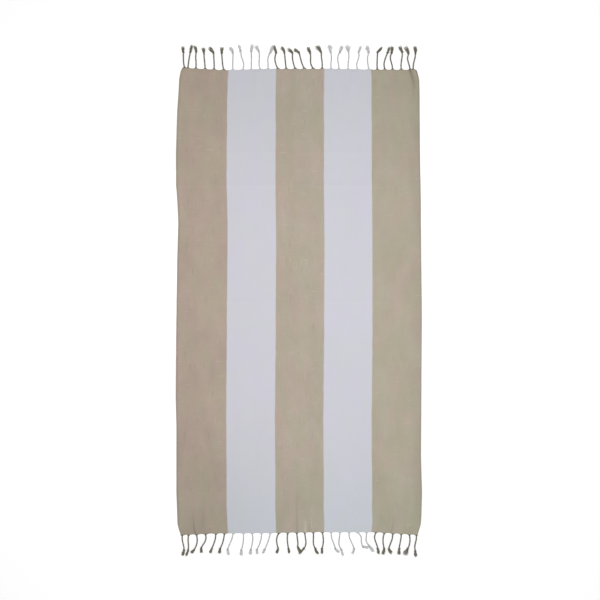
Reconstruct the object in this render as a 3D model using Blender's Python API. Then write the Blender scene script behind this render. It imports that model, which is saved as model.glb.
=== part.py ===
"""Hammam towel of woven cotton, laid out flat.

One flat sheet with five lengthwise stripes, creased where it was folded, with a fringe of
28 twisted and knotted tassels at each end. +Y runs along the towel to its head end, +X to
its right side, and the floor is z = 0. Sizes are in metres, the tables in millimetres.
"""
import math
from collections import namedtuple

import bmesh
import bpy
from mathutils import Vector

MM = 0.001

# Driving sizes of the cloth
CLOTH_WIDTH = 0.900
CLOTH_LENGTH = 1.704
CLOTH_THICKNESS = 0.0015
HALF_WIDTH = CLOTH_WIDTH / 2
HALF_LENGTH = CLOTH_LENGTH / 2
STRAIGHT_HALF_WIDTH = 0.272
PIECE_GAP = 0.0003

# Driving sizes of the strips and of the roots of their tassels
STRIP_WIDTH = 0.008
SCALLOP_DEPTH = 0.003
TASSEL_PITCH = 0.032
ROOT_HALF_WIDTH = 0.0045
ROOT_FAN = 0.009

# Driving sizes of a tassel: its twisted cord, its knot and the locks of its tuft
CORD_RADIUS = 0.0031
CORD_RINGS = 8
CORD_TWIST = math.radians(45)
KNOT_HALF_LENGTH = 0.0045
KNOT_HALF_WIDTH = 0.0050
KNOT_HALF_HEIGHT = 0.0042
KNOT_TWIST = math.radians(30)
KNOT_SHARES = (0.3, 0.7)
TUFT_NECK_HALF_WIDTH = 0.0036
TUFT_NECK_HEIGHT = 0.0042
LOCKS_IN_TUFT = 3
LOCK_HALF_WIDTH = 0.0014
LOCK_FILL = 0.4
LOCK_LENGTH_STEP = 0.07

# Sections of a lock: share of its length, share of the tuft's spread, width and height
LockSection = namedtuple("LockSection", "along spread width height")
LOCK_SECTIONS = (
    LockSection(0.45, 0.78, 1.0, 0.0036),
    LockSection(1.0, 1.0, 0.7, 0.0016),
)

# Rows and columns of the sheet: the widest steps, the finer cuts across the end bands, the
# lines of a fold in half widths, and the insets of the lines that shape its sides and ends
ROW_STEP = 0.095
COLUMN_STEP = 0.075
END_BAND = 0.115
END_BAND_CUTS = 5
FOLD_LINES = (-1.0, -0.45, 0.0, 0.45, 1.0)
SIDE_INSETS = (0.010, 0.022, 0.042)
END_INSETS = (0.012, 0.030, 0.055, 0.085, END_BAND)
SHARP_ANGLE = math.radians(35)

# Where each side edge wanders from its straight line, outward positive
SideStation = namedtuple("SideStation", "along left_out right_out")
SIDE_STATIONS = (
    SideStation(866, -23, -22),
    SideStation(852, -19, -19),
    SideStation(844, -15, -15),
    SideStation(826, -11, -10),
    SideStation(811, -9, -7),
    SideStation(756, -6, -6),
    SideStation(700, -2, -6),
    SideStation(535, 2, -4),
    SideStation(425, 2, -2),
    SideStation(370, -2, -1),
    SideStation(289, -6, -1),
    SideStation(149, -2, 0),
    SideStation(-72, 1, 3),
    SideStation(-348, 3, 1),
    SideStation(-458, 1, 0),
    SideStation(-568, 1, -1),
    SideStation(-704, 1, 3),
    SideStation(-789, -2, 1),
    SideStation(-822, -3, -1),
    SideStation(-844, -9, -8),
    SideStation(-864, -17, -14),
)

# Where the head and foot ends wander from their straight lines, outward positive.
# Each change of stripe has a row, so the sheet and its strips are parted by straight cuts.
EndStation = namedtuple("EndStation", "across head_out foot_out")
END_STATIONS = (
    EndStation(-450, 7, 11),
    EndStation(-262, -3, 4),
    EndStation(-84, 2, 3),
    EndStation(94, 2, 0),
    EndStation(272, -1, 0),
    EndStation(450, -1, 11),
)

# The stripes between those rows, left to right
Stripe = namedtuple("Stripe", "name yarn left right tassels")
STRIPES = (
    Stripe("sand_left", "sand", -450, -262, 6),
    Stripe("white_left", "white", -262, -84, 5),
    Stripe("sand_middle", "sand", -84, 94, 6),
    Stripe("white_right", "white", 94, 272, 5),
    Stripe("sand_right", "sand", 272, 450, 6),
)

# Creases and gathers, each a ridge from one point to another. One that spans the sheet is a
# pressed fold with a sharp crest, as high all along. The others are soft and fade at both ends.
Ridge = namedtuple("Ridge", "name x1 y1 x2 y2 height half_width spans")
RIDGES = (
    Ridge("fold across the middle", -470, -2, 470, -2, 4.0, 36, True),
    Ridge("fold across the head quarter", -470, 425, 470, 425, 3.4, 34, True),
    Ridge("fold across the foot quarter", -470, -432, 470, -432, 3.8, 34, True),
    Ridge("soft fold by the head", -470, 545, 470, 545, 1.8, 36, True),
    Ridge("soft fold by the foot", -470, -556, 470, -556, 1.8, 36, True),
    Ridge("fold along the middle", -15, -860, -15, 860, 2.6, 30, True),
    Ridge("slanting crease at the head corner", 405, 868, 438, 745, 5.5, 16, False),
    Ridge("gather by the third foot tassel", -388, -900, -376, -740, 3.8, 20, False),
    Ridge("gather by the fourth foot tassel", -352, -890, -342, -755, 3.2, 18, False),
    Ridge("long gather by the middle of the foot", -4, -905, -6, -730, 4.6, 22, False),
    Ridge("gather by the sixteenth foot tassel", 40, -890, 46, -750, 3.4, 20, False),
    Ridge("gather by the twenty-fifth foot tassel", 330, -890, 352, -755, 3.6, 20, False),
    Ridge("gather by the last foot tassels", 396, -895, 404, -745, 4.0, 20, False),
    Ridge("gather by the fifth head tassel", -326, 895, -330, 755, 3.0, 20, False),
    Ridge("gather by the ninth head tassel", -158, 895, -150, 755, 3.0, 20, False),
    Ridge("gather by the twentieth head tassel", 200, 895, 206, 750, 3.2, 20, False),
)

# Stretches where a side edge lifts off the floor in a soft curl
Curl = namedtuple("Curl", "side start end height reach")
CURLS = (
    Curl("right", 560, 850, 6.0, 42),
    Curl("right", -110, 390, 5.0, 40),
    Curl("right", -875, -290, 5.5, 42),
    Curl("left", 420, 700, 3.5, 28),
    Curl("left", -480, -40, 3.5, 28),
)

# One row for each tassel, left to right. Root: place across the towel. Lean: how far the knot
# lies from the root. Reach: the knot's distance from the end. Flick: how far the tip lies from
# the knot. Tuft: length past the knot. Bow: bulge of the cord. Wave: bulge to the right near
# the root and as far to the left near the knot. Fan: step between locks.
Tassel = namedtuple("Tassel", "root lean reach flick tuft bow wave fan")
HEAD_TASSELS = (
    Tassel(-420, -4, 62, -2, 18, -1.5, -0.4, 3.6),
    Tassel(-407, 9, 62, 5, 24, -0.8, 0, 3.2),
    Tassel(-378, 2, 62, -5, 20, -0.8, 1.2, 3.2),
    Tassel(-344, -4, 59, -2, 16, -0.1, 0.4, 4.4),
    Tassel(-311, -1, 59, -15, 18, 0.4, 0.4, 4),
    Tassel(-276, -7, 59, 1, 18, -1.1, -0.3, 4.2),
    Tassel(-242, 1, 60, -10, 17, -0.6, -0.2, 4.2),
    Tassel(-205, -8, 65, -6, 20, 3.5, 2.6, 3.8),
    Tassel(-174, -1, 64, 4, 22, 1.1, -0.5, 4),
    Tassel(-142, -4, 65, -11, 18, -0.9, -1.6, 4.2),
    Tassel(-112, 8, 59, 8, 24, -5.3, 1.6, 3),
    Tassel(-77, -5, 59, -5, 24, -6.5, 0.5, 3),
    Tassel(-46, -6, 62, -10, 17, -0.4, 0, 4),
    Tassel(-13, -9, 60, -16, 12, -4.1, 0.1, 4.2),
    Tassel(20, -18, 60, -17, 11, -2.2, -0.3, 4.4),
    Tassel(53, -10, 59, -9, 18, -4.4, -1.9, 4),
    Tassel(86, -3, 62, -15, 21, 0.8, 0.9, 5.6),
    Tassel(119, -2, 62, -3, 24, 1.9, -1.5, 5.6),
    Tassel(148, 4, 62, 7, 20, -6.1, 1.9, 3.8),
    Tassel(182, 1, 64, -3, 20, 1, -1.1, 5.6),
    Tassel(216, 4, 62, 8, 19, -0.6, -3.4, 4.2),
    Tassel(258, 0, 60, -8, 22, -4.9, 0.7, 4),
    Tassel(289, 1, 62, 15, 15, -0.9, -0.3, 4.2),
    Tassel(317, 10, 59, 6, 19, -6.4, -0.9, 3.2),
    Tassel(345, -3, 59, 2, 20, -4.4, 2.4, 3.2),
    Tassel(377, 4, 62, -10, 20, -0.9, -1, 4),
    Tassel(410, -5, 57, -11, 22, -5.4, 1.6, 5.4),
    Tassel(421, 9, 59, -2, 21, -0.9, -1.1, 3.6),
)
FOOT_TASSELS = (
    Tassel(-428, 7, 66, -6, 16, -1.2, -1.2, 3.2),
    Tassel(-405, -1, 66, -7, 17, -0.5, -1, 3.2),
    Tassel(-376, -10, 65, -8, 9, 7.4, -0.3, 3.6),
    Tassel(-343, -17, 57, 3, 16, 7.7, 1, 4.2),
    Tassel(-305, -15, 60, -5, 14, 3.4, 0.3, 4.2),
    Tassel(-273, -17, 60, -1, 15, 3.6, -0.5, 4),
    Tassel(-241, -21, 63, 4, 17, 2.2, 0.6, 4.2),
    Tassel(-203, -8, 65, 0, 18, 3.4, -0.1, 4.2),
    Tassel(-171, -5, 63, -2, 16, 4.1, 0.6, 4.2),
    Tassel(-137, -17, 63, 2, 15, 4.9, 0.2, 4),
    Tassel(-105, -20, 63, -6, 12, 2.6, 0.4, 4),
    Tassel(-73, -2, 60, -6, 14, -7.2, -0.8, 4),
    Tassel(-40, 3, 61, 2, 13, -3, -0.3, 4),
    Tassel(-7, 3, 54, 6, 19, 1.5, -0.7, 2.6),
    Tassel(22, -3, 60, -9, 15, 5.9, -1.6, 2.6),
    Tassel(54, 7, 60, 8, 17, -3.8, 1.4, 4.2),
    Tassel(87, -2, 61, 1, 15, 4.7, -0.3, 4),
    Tassel(120, 15, 60, 12, 12, -2.7, -1.3, 3.4),
    Tassel(152, 5, 63, 5, 20, -6.6, 1.8, 3.4),
    Tassel(186, 18, 60, -6, 17, -3.6, -1.9, 4.2),
    Tassel(217, 19, 53, 11, 9, 4.2, 3.4, 3.6),
    Tassel(250, 10, 50, 14, 19, -7.1, 1.6, 4),
    Tassel(284, 7, 60, 3, 17, -6.1, -2.3, 4),
    Tassel(315, 0, 60, -5, 19, -5.2, -0.2, 4),
    Tassel(346, -16, 60, 11, 16, 2.7, 0.8, 4),
    Tassel(377, -8, 60, 0, 19, 0.8, 0.5, 4),
    Tassel(407, -6, 60, -10, 20, 4.7, -0.1, 5.8),
    Tassel(430.5, -1.5, 69, 1, 18, -2.1, 1.9, 3.6),
)
ENDS = {"head": HEAD_TASSELS, "foot": FOOT_TASSELS}


def yarn_material(name, red, green, blue, roughness):
    """Matt cotton of one colour, given as linear red, green and blue."""
    material = bpy.data.materials.new(name)
    material.use_nodes = True
    shader = material.node_tree.nodes["Principled BSDF"]
    shader.inputs["Base Color"].default_value = (red, green, blue, 1.0)
    shader.inputs["Roughness"].default_value = roughness
    shader.inputs["Metallic"].default_value = 0.0
    return material


def between(rows, key, value, column):
    """A column's value read between the rows of a table, whose keys all rise or all fall."""
    rows = sorted(rows, key=lambda row: getattr(row, key))
    below = rows[0]
    for above in rows:
        if getattr(above, key) >= value:
            break
        below = above
    span = getattr(above, key) - getattr(below, key)
    share = (value - getattr(below, key)) / span if span > 0 else 0.0
    share = min(max(share, 0.0), 1.0)
    return getattr(below, column) + share * (getattr(above, column) - getattr(below, column))


def side_x(along, side):
    """Where the left or right edge lies at a place along the towel."""
    out = between(SIDE_STATIONS, "along", along / MM, side + "_out") * MM
    return (HALF_WIDTH + out) * (-1 if side == "left" else 1)


def end_y(across, end):
    """How far from the middle the head or foot end lies, at a place across the towel."""
    return HALF_LENGTH + between(END_STATIONS, "across", across / MM, end + "_out") * MM


def cut_y(across, end):
    """Where the sheet is parted from the strip that carries its tassels."""
    return end_y(across, end) - STRIP_WIDTH


def lift(x, y):
    """Height of the sheet's underside over the floor: 0 but at creases, gathers and curls."""
    heights = [0.0]
    for ridge in RIDGES:
        start = Vector((ridge.x1, ridge.y1)) * MM
        run = Vector((ridge.x2, ridge.y2)) * MM - start
        offset = Vector((x, y)) - start
        along = offset.dot(run) / run.length_squared
        aside = abs(offset.cross(run)) / run.length / (ridge.half_width * MM)
        if not (0.0 < along < 1.0 and aside < 1.0):
            continue
        if ridge.spans:
            heights.append(ridge.height * MM * (1.0 - aside) ** 2)
        else:
            soft = math.cos(aside * math.pi / 2) ** 2
            heights.append(ridge.height * MM * math.sin(math.pi * along) * soft)
    for curl in CURLS:
        inset = abs(side_x(y, curl.side) - x) / (curl.reach * MM)
        along = (y - curl.start * MM) / ((curl.end - curl.start) * MM)
        if inset < 1.0 and 0.0 < along < 1.0:
            heights.append(curl.height * MM * math.sin(math.pi * along) * (1.0 - inset) ** 2)
    return max(heights)


def grid_lines(start, end, kept, step):
    """Places from start to end: every kept one, with even steps between them."""
    stops = sorted({start, end, *(place for place in kept if start < place < end)})
    lines = [start]
    for low, high in zip(stops, stops[1:]):
        count = max(1, math.ceil((high - low) / step - 1e-6))
        lines += [low + (high - low) * k / count for k in range(1, count + 1)]
    return lines


def sheet_columns():
    """Columns of the sheet: its stripes' edges, the fold along it and its curled sides."""
    kept = [stripe.left * MM for stripe in STRIPES]
    for ridge in RIDGES:
        if ridge.spans and ridge.x1 == ridge.x2:
            kept += [(ridge.x1 + share * ridge.half_width) * MM for share in FOLD_LINES]
    for inset in SIDE_INSETS:
        kept += [inset - HALF_WIDTH, HALF_WIDTH - inset]
    return grid_lines(-HALF_WIDTH, HALF_WIDTH, kept, COLUMN_STEP)


def sheet_rows():
    """Rows of the sheet: the folds across it, its shaped corners and even steps between."""
    kept = []
    for ridge in RIDGES:
        if ridge.spans and ridge.y1 == ridge.y2:
            kept += [(ridge.y1 + share * ridge.half_width) * MM for share in FOLD_LINES]
    for inset in END_INSETS:
        kept += [inset - HALF_LENGTH, HALF_LENGTH - inset]
    return grid_lines(-HALF_LENGTH, HALF_LENGTH, kept, ROW_STEP)


def drawn_to_cut(across, along):
    """A place along the sheet, its end band stretched or shrunk to reach the strips."""
    inside = HALF_LENGTH - END_BAND
    share = (abs(along) - inside) / END_BAND
    if share <= 0.0:
        return along
    end = "head" if along > 0.0 else "foot"
    reach = inside + share * (cut_y(across, end) - PIECE_GAP - inside)
    return math.copysign(reach, along)


def place_on_sheet(across, along):
    """Point on the sheet's underside for a place on its straight-edged pattern."""
    side = "right" if across > 0.0 else "left"
    edge = side_x(drawn_to_cut(across, along), side)
    wander = abs(edge) - HALF_WIDTH
    share = max(0.0, (abs(across) - STRAIGHT_HALF_WIDTH) / (HALF_WIDTH - STRAIGHT_HALF_WIDTH))
    x = across + math.copysign(1.0, edge) * wander * share ** 2
    y = drawn_to_cut(x, along)
    return Vector((x, y, lift(x, y)))


def finish_object(name, bm, materials):
    """Close the mesh up as an object, with its faces pointing out."""
    bmesh.ops.recalc_face_normals(bm, faces=bm.faces)
    mesh = bpy.data.meshes.new(name)
    bm.to_mesh(mesh)
    bm.free()
    mesh.shade_smooth()
    mesh.set_sharp_from_angle(angle=SHARP_ANGLE)
    for material in materials:
        mesh.materials.append(material)
    part = bpy.data.objects.new(name, mesh)
    bpy.context.collection.objects.link(part)
    return part


def build_cloth(yarns):
    """The striped sheet, one solid, ending where the fringe strips begin."""
    columns = sheet_columns()
    rows = sheet_rows()
    bm = bmesh.new()
    bmesh.ops.create_grid(bm, x_segments=len(columns) - 1, y_segments=len(rows) - 1, size=0.5)
    for vert in bm.verts:
        column = round((vert.co.x + 0.5) * (len(columns) - 1))
        row = round((vert.co.y + 0.5) * (len(rows) - 1))
        vert.co = Vector((columns[column], rows[row], 0.0))
    end_edges = []
    for edge in bm.edges:
        first, second = (vert.co for vert in edge.verts)
        across = abs(first.y - second.y) < MM
        in_band = abs(first.y) > HALF_LENGTH - END_BAND + MM
        if across and in_band and edge.calc_length() > COLUMN_STEP / 2:
            end_edges.append(edge)
    bmesh.ops.subdivide_edges(bm, edges=end_edges, cuts=END_BAND_CUTS, use_grid_fill=True)
    white_stripes = [stripe for stripe in STRIPES if stripe.yarn == "white"]
    for face in bm.faces:
        middle = face.calc_center_median().x / MM
        face.material_index = int(any(s.left < middle < s.right for s in white_stripes))
    for vert in bm.verts:
        vert.co = place_on_sheet(vert.co.x, vert.co.y)
    underside = list(bm.faces)
    grown = bmesh.ops.extrude_face_region(bm, geom=underside, use_keep_orig=True)["geom"]
    upper = [item for item in grown if isinstance(item, bmesh.types.BMVert)]
    bmesh.ops.translate(bm, verts=upper, vec=(0.0, 0.0, CLOTH_THICKNESS))
    return finish_object("cloth", bm, [yarns["sand"], yarns["white"]])


def grow(bm, face, order, corners):
    """Extrude a four-sided face, and take its corners to new places in the given order."""
    grown = bmesh.ops.extrude_discrete_faces(bm, faces=[face])["faces"][0]
    for vert, corner in zip(grown.verts, order):
        vert.co = corners[corner]
    return grown


def across_of(heading):
    """Level direction to the right of a heading."""
    return Vector((heading.y, -heading.x, 0.0))


def ring(centre, heading, angle, half_width, half_height):
    """Four corners of a cord's section, turned by an angle and resting on the floor."""
    offsets = []
    for eighth in (-3, -1, 1, 3):
        turn = angle + eighth * math.pi / 4
        offset = across_of(heading) * half_width * math.cos(turn)
        offset.z = half_height * math.sin(turn)
        offsets.append(offset)
    rest = Vector((centre.x, centre.y, -min(offset.z for offset in offsets)))
    return [rest + offset for offset in offsets]


def cord_point(tassel, root, knot, share):
    """A place along a tassel's bowed and waving cord, and its heading there."""
    run = knot - root
    bow = tassel.bow * MM * 4.0
    wave = tassel.wave * MM
    turn = math.tau * share
    aside = bow * share * (1.0 - share) + wave * math.sin(turn)
    drift = bow * (1.0 - 2.0 * share) + wave * math.tau * math.cos(turn)
    place = root + run * share + Vector((aside, 0.0, 0.0))
    heading = (run + Vector((drift, 0.0, 0.0))).normalized()
    return place, heading


def split_side_by_side(bm, cap, centre, side):
    """Cut the end of a knot into equal faces side by side, and return them in order."""
    faces = [cap]
    for cut in range(1, LOCKS_IN_TUFT):
        aside = (2.0 * cut / LOCKS_IN_TUFT - 1.0) * TUFT_NECK_HALF_WIDTH
        rim = {item for face in faces for item in (*face.verts, *face.edges, face)}
        halves = bmesh.ops.bisect_plane(
            bm, geom=list(rim), plane_co=centre + side * aside, plane_no=side
        )
        faces = [item for item in halves["geom"] if isinstance(item, bmesh.types.BMFace)]
    return sorted(faces, key=lambda face: face.calc_center_median().dot(side))


def grow_locks(bm, cap, knot_end, heading, tassel):
    """Grow the locks of a tuft from the end of its knot, fanned and level on the floor."""
    knot_side = across_of(heading)
    spine = Vector((tassel.flick, tassel.tuft, 0.0)) * MM - heading * KNOT_HALF_LENGTH
    tuft_side = across_of(spine.normalized())
    for number, face in enumerate(split_side_by_side(bm, cap, knot_end, knot_side)):
        fan = (number - (LOCKS_IN_TUFT - 1) / 2) * tassel.fan * MM
        turn = (number + round(abs(tassel.lean))) % LOCKS_IN_TUFT
        length = 1.0 - LOCK_LENGTH_STEP * turn
        for section in LOCK_SECTIONS:
            middle = face.calc_center_median()
            spread = section.spread * fan
            step = section.spread * tassel.fan * MM
            half_width = section.width * min(LOCK_HALF_WIDTH, LOCK_FILL * step)
            centre = knot_end + spine * section.along * length + tuft_side * spread
            corners = []
            for vert in face.verts:
                right = 1.0 if (vert.co - middle).dot(knot_side) > 0.0 else -1.0
                raised = section.height if vert.co.z > middle.z else 0.0
                corners.append(centre + tuft_side * right * half_width + Vector((0.0, 0.0, raised)))
            face = grow(bm, face, range(4), corners)


def grow_tassel(bm, face, tassel, end):
    """Grow one tassel from its root face: fan of warp, twisted cord, knot and tuft."""
    root = Vector((tassel.root * MM, end_y(tassel.root * MM, end), 0.0))
    knot = Vector(((tassel.root + tassel.lean) * MM, HALF_LENGTH + tassel.reach * MM, 0.0))
    length = (knot - root).length
    middle = face.calc_center_median()
    corner_of = {(False, False): 0, (True, False): 1, (True, True): 2, (False, True): 3}
    order = [corner_of[vert.co.x > middle.x, vert.co.z > middle.z] for vert in face.verts]
    start = ROOT_FAN / length
    stop = 1.0 - KNOT_HALF_LENGTH / length
    for step in range(CORD_RINGS + 1):
        share = start + (stop - start) * step / CORD_RINGS
        centre, heading = cord_point(tassel, root, knot, share)
        section = ring(centre, heading, CORD_TWIST * step, CORD_RADIUS, CORD_RADIUS)
        face = grow(bm, face, order, section)
    tuft_heading = Vector((tassel.flick, tassel.tuft, 0.0)).normalized()
    last_heading = (heading + tuft_heading).normalized()
    angle = CORD_TWIST * CORD_RINGS
    for share in KNOT_SHARES:
        angle += KNOT_TWIST
        turned = heading.lerp(last_heading, share).normalized()
        centre = knot + turned * KNOT_HALF_LENGTH * (2.0 * share - 1.0)
        section = ring(centre, turned, angle, KNOT_HALF_WIDTH, KNOT_HALF_HEIGHT)
        face = grow(bm, face, order, section)
    quarters = round((angle + KNOT_TWIST) / math.radians(90))
    order = [(corner + quarters) % 4 for corner in order]
    knot_end = knot + last_heading * KNOT_HALF_LENGTH
    side = across_of(last_heading) * TUFT_NECK_HALF_WIDTH
    top = Vector((0.0, 0.0, TUFT_NECK_HEIGHT))
    neck = [knot_end - side, knot_end + side, knot_end + side + top, knot_end - side + top]
    face = grow(bm, face, order, neck)
    grow_locks(bm, face, knot_end, last_heading, tassel)


def strip_stations(stripe, tassels):
    """Places across a strip, each with how far its outer edge draws in between two roots."""
    left = stripe.left * MM + PIECE_GAP / 2
    right = stripe.right * MM - PIECE_GAP / 2
    stops = [left]
    for tassel in tassels:
        stops += [tassel.root * MM - ROOT_HALF_WIDTH, tassel.root * MM + ROOT_HALF_WIDTH]
    stops.append(right)
    stations = [(left, SCALLOP_DEPTH / 2)]
    for number in range(1, len(stops) - 1):
        stations.append((stops[number], 0.0))
        gap = stops[number + 1] - stops[number]
        if number % 2 == 0 and number < len(stops) - 2 and gap > 2 * ROOT_HALF_WIDTH:
            stations.append((stops[number] + gap / 2, SCALLOP_DEPTH * gap / TASSEL_PITCH))
    stations.append((right, SCALLOP_DEPTH / 2))
    return stations


def strip_section(across, drawn_in, end):
    """Corners of a strip's section: inner low, outer low, outer high, inner high."""
    inner_x = outer_x = across
    for side, sign in (("left", -1), ("right", 1)):
        if abs(across) > HALF_WIDTH - MM and across * sign > 0.0:
            world = 1 if end == "head" else -1
            inner_x = side_x(world * cut_y(across, end), side)
            outer_x = side_x(world * (end_y(across, end) - drawn_in), side)
    inner_y = cut_y(inner_x, end)
    outer_y = end_y(outer_x, end) - drawn_in
    raised = lift(inner_x, inner_y if end == "head" else -inner_y)
    inner = Vector((inner_x, inner_y, raised))
    outer = Vector((outer_x, outer_y, 0.0))
    thick = Vector((0.0, 0.0, CLOTH_THICKNESS))
    return [inner, outer, outer + thick, inner + thick]


def build_fringe(end, stripe, tassels, yarns):
    """One stripe's fringe at one end: a narrow strip with its tassels grown from it."""
    bm = bmesh.new()
    stations = strip_stations(stripe, tassels)
    first = [bm.verts.new(corner) for corner in strip_section(*stations[0], end)]
    face = bm.faces.new(first)
    for station in stations[1:]:
        face = grow(bm, face, range(4), strip_section(*station, end))
    bm.faces.new(first)
    for tassel in tassels:
        across = tassel.root * MM
        left = Vector((across - ROOT_HALF_WIDTH, end_y(across - ROOT_HALF_WIDTH, end), 0.0))
        right = Vector((across + ROOT_HALF_WIDTH, end_y(across + ROOT_HALF_WIDTH, end), 0.0))
        root = (left + right) / 2 + Vector((0.0, 0.0, CLOTH_THICKNESS / 2))
        root_face = min(bm.faces, key=lambda f: (f.calc_center_median() - root).length)
        grow_tassel(bm, root_face, tassel, end)
    if end == "foot":
        bmesh.ops.scale(bm, verts=bm.verts, vec=(1.0, -1.0, 1.0))
    bmesh.ops.remove_doubles(bm, verts=bm.verts, dist=1e-6)
    return finish_object(f"fringe_{end}_{stripe.name}", bm, [yarns[stripe.yarn]])


def main():
    for leftover in list(bpy.data.objects):
        bpy.data.objects.remove(leftover)
    yarns = {
        "sand": yarn_material("sand_cotton", 0.445, 0.376, 0.305, 0.92),
        "white": yarn_material("white_cotton", 0.617, 0.617, 0.665, 0.92),
    }
    build_cloth(yarns)
    for end, tassels in ENDS.items():
        first = 0
        for stripe in STRIPES:
            own = tassels[first:first + stripe.tassels]
            build_fringe(end, stripe, own, yarns)
            first += stripe.tassels


main()
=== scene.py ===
"""Looks of a striped hammam towel laid out flat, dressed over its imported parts.

The cloth is one thin sheet on the folds of its solid. Each stripe's fringe at each end is one
joined piece of twisted and knotted tassels. +Y runs along the towel to its head end, +X to its
right side, and the floor is z = 0. Sizes are in metres, the tables in millimetres.
"""

import logging
import math
import random
from dataclasses import dataclass
from enum import Enum
from typing import Callable, NamedTuple, Optional, Sequence, Union

import bmesh
import bpy
from mathutils import Euler, Matrix, Vector
from mathutils.noise import noise as soft_noise


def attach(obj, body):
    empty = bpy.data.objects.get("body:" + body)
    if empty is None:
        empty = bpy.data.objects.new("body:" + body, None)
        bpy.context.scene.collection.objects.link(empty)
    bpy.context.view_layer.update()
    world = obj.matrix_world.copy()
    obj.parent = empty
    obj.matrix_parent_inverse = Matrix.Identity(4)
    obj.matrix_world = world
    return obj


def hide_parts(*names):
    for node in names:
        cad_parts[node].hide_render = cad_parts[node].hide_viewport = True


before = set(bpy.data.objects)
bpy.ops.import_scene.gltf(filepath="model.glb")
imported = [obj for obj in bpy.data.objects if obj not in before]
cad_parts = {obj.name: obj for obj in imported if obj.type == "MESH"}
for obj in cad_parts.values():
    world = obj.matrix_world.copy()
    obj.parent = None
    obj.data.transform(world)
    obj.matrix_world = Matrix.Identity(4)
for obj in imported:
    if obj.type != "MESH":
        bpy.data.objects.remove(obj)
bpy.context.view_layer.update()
MM = 0.001
HAIR = MM / 10
TURN = 2.0 * math.pi
LOG = logging.getLogger("towel")

Socket = bpy.types.NodeSocket
Value = Union[Socket, float]
Colour = tuple[float, float, float]
Triple = tuple[float, float, float]
Pair = tuple[float, float]


class Yarn(Enum):
    """The two colours of warp."""

    SAND = "sand"
    WHITE = "white"


class End(Enum):
    """The two fringed ends, each with its direction along the towel."""

    HEAD = 1
    FOOT = -1


class Side(Enum):
    """The two selvedges, each with its direction across the towel."""

    LEFT = -1
    RIGHT = 1


class Stripe(NamedTuple):
    """A lengthwise stripe: its yarn, its edges across the towel and its count of tassels."""

    name: str
    yarn: Yarn
    left: float
    right: float
    tassels: int


STRIPES = (
    Stripe("sand_left", Yarn.SAND, -450, -262, 6),
    Stripe("white_left", Yarn.WHITE, -262, -84, 5),
    Stripe("sand_middle", Yarn.SAND, -84, 94, 6),
    Stripe("white_right", Yarn.WHITE, 94, 272, 5),
    Stripe("sand_right", Yarn.SAND, 272, 450, 6),
)


class SideStation(NamedTuple):
    """Where each side edge wanders from its straight line, outward positive."""

    along: float
    left_out: float
    right_out: float


SIDE_STATIONS = (
    SideStation(866, -23, -22),
    SideStation(852, -19, -19),
    SideStation(844, -15, -15),
    SideStation(826, -11, -10),
    SideStation(811, -9, -7),
    SideStation(756, -6, -6),
    SideStation(700, -2, -6),
    SideStation(535, 2, -4),
    SideStation(425, 2, -2),
    SideStation(370, -2, -1),
    SideStation(289, -6, -1),
    SideStation(149, -2, 0),
    SideStation(-72, 1, 3),
    SideStation(-348, 3, 1),
    SideStation(-458, 1, 0),
    SideStation(-568, 1, -1),
    SideStation(-704, 1, 3),
    SideStation(-789, -2, 1),
    SideStation(-822, -3, -1),
    SideStation(-844, -9, -8),
    SideStation(-864, -17, -14),
)


class SwayStation(NamedTuple):
    """How far the warp of the laid cloth strays to the right at a place along it."""

    along: float
    aside: float


SWAY_STATIONS = (
    SwayStation(-852, 0.0),
    SwayStation(-770, -2.4),
    SwayStation(-660, -2.4),
    SwayStation(-440, -4.2),
    SwayStation(-182, -1.4),
    SwayStation(2, -0.8),
    SwayStation(185, 0.6),
    SwayStation(443, -2.0),
    SwayStation(627, -1.0),
    SwayStation(737, -1.8),
    SwayStation(852, 0.0),
)


class EndStation(NamedTuple):
    """Where the head and foot ends wander from their straight lines, outward positive."""

    across: float
    head_out: float
    foot_out: float


END_STATIONS = (
    EndStation(-450, 7, 11),
    EndStation(-262, -3, 4),
    EndStation(-84, 2, 3),
    EndStation(94, 2, 0),
    EndStation(272, -1, 0),
    EndStation(450, -1, 11),
)


class Ridge(NamedTuple):
    """A crease or gather from one point to another.

    One that spans the sheet is a pressed fold with a sharp crest, as high all along. The
    others are soft and fade at both ends.
    """

    name: str
    x1: float
    y1: float
    x2: float
    y2: float
    height: float
    half_width: float
    spans: bool


RIDGES = (
    Ridge("fold across the middle", -470, -2, 470, -2, 4.0, 36, True),
    Ridge("fold across the head quarter", -470, 425, 470, 425, 3.4, 34, True),
    Ridge("fold across the foot quarter", -470, -432, 470, -432, 3.8, 34, True),
    Ridge("soft fold by the head", -470, 545, 470, 545, 1.8, 36, True),
    Ridge("soft fold by the foot", -470, -556, 470, -556, 1.8, 36, True),
    Ridge("fold along the middle", -15, -860, -15, 860, 2.6, 30, True),
    Ridge("slanting crease at the head corner", 405, 868, 438, 745, 5.5, 16, False),
    Ridge("gather by the third foot tassel", -388, -900, -376, -740, 3.8, 20, False),
    Ridge("gather by the fourth foot tassel", -352, -890, -342, -755, 3.2, 18, False),
    Ridge("long gather by the middle of the foot", -4, -905, -6, -730, 4.6, 22, False),
    Ridge("gather by the sixteenth foot tassel", 40, -890, 46, -750, 3.4, 20, False),
    Ridge("gather by the twenty-fifth foot tassel", 330, -890, 352, -755, 3.6, 20, False),
    Ridge("gather by the last foot tassels", 396, -895, 404, -745, 4.0, 20, False),
    Ridge("gather by the fifth head tassel", -326, 895, -330, 755, 3.0, 20, False),
    Ridge("gather by the ninth head tassel", -158, 895, -150, 755, 3.0, 20, False),
    Ridge("gather by the twentieth head tassel", 200, 895, 206, 750, 3.2, 20, False),
)


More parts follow.
